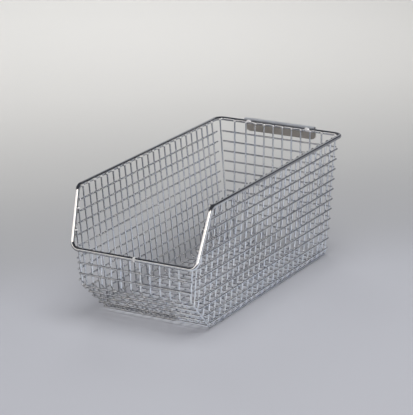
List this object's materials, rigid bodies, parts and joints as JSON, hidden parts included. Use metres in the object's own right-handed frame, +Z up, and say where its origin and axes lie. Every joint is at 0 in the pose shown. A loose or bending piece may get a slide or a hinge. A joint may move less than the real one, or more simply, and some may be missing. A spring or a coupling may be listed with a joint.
{
  "type": "wire mesh stack and hang bin",
  "caption": "Open-topped welded wire bin with a heavy rim, a low hopper front with a sloping toe, and a folded hanger plate at the rear.",
  "frame": {"origin": "middle of the footprint of the whole bin, on the surface that it stands on", "axes": "+Z up, -Y towards the low hopper front, +Y towards the hanger plate, +X to the right seen from the front"},
  "size_m": [0.1396, 0.2766, 0.1243],
  "materials": {
    "rim_chrome": "polished bright chrome plated rod",
    "wire_chrome": "bright plated wire with dull weld spots",
    "plated_sheet": "satin plated sheet"
  },
  "bodies": {
    "root": {"rim_rod": "rim_chrome", "runner_wire_01": "wire_chrome", "runner_wire_02": "wire_chrome", "runner_wire_03": "wire_chrome", "runner_wire_04": "wire_chrome", "runner_wire_05": "wire_chrome", "runner_wire_06": "wire_chrome", "runner_wire_07": "wire_chrome", "runner_wire_08": "wire_chrome", "runner_wire_09": "wire_chrome", "runner_wire_10": "wire_chrome", "runner_wire_11": "wire_chrome", "runner_wire_12": "wire_chrome", "bend_wire": "wire_chrome", "cradle_wire_01": "wire_chrome", "cradle_wire_02": "wire_chrome", "cradle_wire_03": "wire_chrome", "cradle_wire_04": "wire_chrome", "cradle_wire_05": "wire_chrome", "cradle_wire_06": "wire_chrome", "cradle_wire_07": "wire_chrome", "cradle_wire_08": "wire_chrome", "cradle_wire_09": "wire_chrome", "cradle_wire_10": "wire_chrome", "cradle_wire_11": "wire_chrome", "cradle_wire_12": "wire_chrome", "cradle_wire_13": "wire_chrome", "cradle_wire_14": "wire_chrome", "cradle_wire_15": "wire_chrome", "cradle_wire_16": "wire_chrome", "cradle_wire_17": "wire_chrome", "cradle_wire_18": "wire_chrome", "cradle_wire_19": "wire_chrome", "cradle_wire_20": "wire_chrome", "cradle_wire_21": "wire_chrome", "cradle_wire_22": "wire_chrome", "left_upright_01": "wire_chrome", "left_upright_02": "wire_chrome", "left_upright_03": "wire_chrome", "right_upright_01": "wire_chrome", "right_upright_02": "wire_chrome", "right_upright_03": "wire_chrome", "belt_wire_01": "wire_chrome", "belt_wire_02": "wire_chrome", "belt_wire_03": "wire_chrome", "belt_wire_04": "wire_chrome", "belt_wire_05": "wire_chrome", "belt_wire_06": "wire_chrome", "belt_wire_07": "wire_chrome", "belt_wire_08": "wire_chrome", "belt_wire_09": "wire_chrome", "belt_wire_10": "wire_chrome", "belt_wire_11": "wire_chrome", "front_bar_01": "wire_chrome", "front_bar_02": "wire_chrome", "toe_bar_01": "wire_chrome", "toe_bar_02": "wire_chrome", "toe_bar_03": "wire_chrome", "toe_bar_04": "wire_chrome", "hanger_plate": "plated_sheet"}
  },
  "joints": []
}
